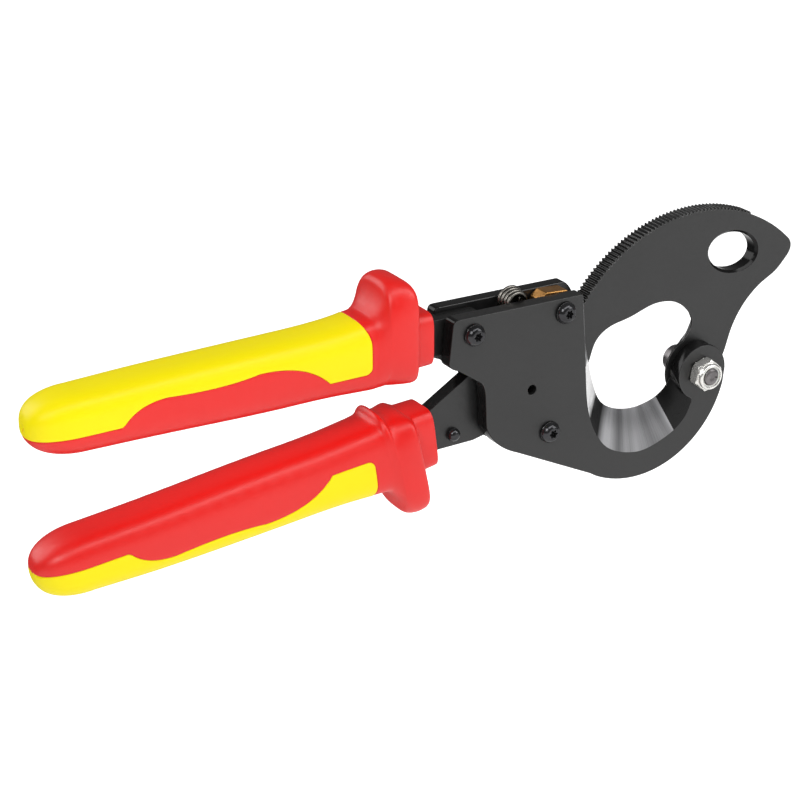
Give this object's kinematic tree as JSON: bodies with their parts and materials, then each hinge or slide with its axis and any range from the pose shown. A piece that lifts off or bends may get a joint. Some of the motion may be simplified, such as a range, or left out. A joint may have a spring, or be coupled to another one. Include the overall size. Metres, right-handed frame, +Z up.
{
  "type": "ratchet cable cutter",
  "caption": "Hand-held ratchet cable cutter: hooked fixed jaw, toothed curved blade swinging on a bolt, and splayed handles in two-colour insulated grips with finger guards.",
  "frame": {"origin": "bottom centre of the bounding box: half way along the tool, on the middle plane of the blade, level with the lowest point of the jaw", "axes": "+X from the grips towards the cutting head, +Z up with the upper (fixed) grip on top, -Y out of the front face that carries the hooked jaw and the nut"},
  "size_m": [0.2796, 0.0265, 0.0894],
  "materials": {
    "blackened": "satin-gloss black coating",
    "dark_steel": "black oxide",
    "spring_steel": "bare spring wire",
    "nickel": "bright nickel plate",
    "bronze": "dull brass",
    "white_nylon": "moulded nylon",
    "red": "semi-gloss moulding",
    "yellow": "semi-gloss moulding"
  },
  "bodies": {
    "frame": {"front_plate": "blackened", "back_plate": "blackened", "fixed_tang": "blackened", "tang_dowel": "dark_steel", "screw_tang": "dark_steel", "screw_pawl": "dark_steel", "screw_spacer": "dark_steel", "frame_spacer": "dark_steel", "pawl_bush": "dark_steel", "lever_pivot_pin": "dark_steel", "pivot_bolt": "dark_steel", "pivot_bush": "bronze", "pivot_nut": "nickel", "nut_ring": "white_nylon", "pawl_spring": "spring_steel", "upper_grip_red": "red", "upper_grip_yellow": "yellow"},
    "blade": {"blade": "blackened"},
    "lever": {"lever": "blackened", "lever_bush": "bronze", "lever_stud": "dark_steel", "drive_pawl_pin": "dark_steel", "drive_pawl_spring": "spring_steel", "lower_grip_red": "red", "lower_grip_yellow": "yellow"},
    "drive_pawl": {"drive_pawl": "dark_steel"},
    "retaining_pawl": {"retaining_pawl": "bronze"}
  },
  "joints": [
    {"name": "blade_swing", "type": "hinge", "parent": "frame", "child": "blade", "pos_m": [0.0996, 0, 0.0332], "axis": [0, -1, 0], "range_deg": [-95, 60]},
    {"name": "handle_swing", "type": "hinge", "parent": "frame", "child": "lever", "pos_m": [0.0303, 0, 0.0412], "axis": [0, -1, 0], "range_deg": [-6, 22]},
    {"name": "drive_pawl_rock", "type": "hinge", "parent": "lever", "child": "drive_pawl", "pos_m": [0.037, 0, 0.0468], "axis": [0, -1, 0], "range_deg": [-14, 5], "deforming": ["drive_pawl_spring"]},
    {"name": "retaining_pawl_release", "type": "hinge", "parent": "frame", "child": "retaining_pawl", "pos_m": [0.0424, 0, 0.0657], "axis": [0, -1, 0], "range_deg": [-12, 0], "deforming": ["pawl_spring"]}
  ],
  "couplings": [
    {"joint": "drive_pawl_rock", "follows": "handle_swing", "ratio": -0.6}
  ]
}
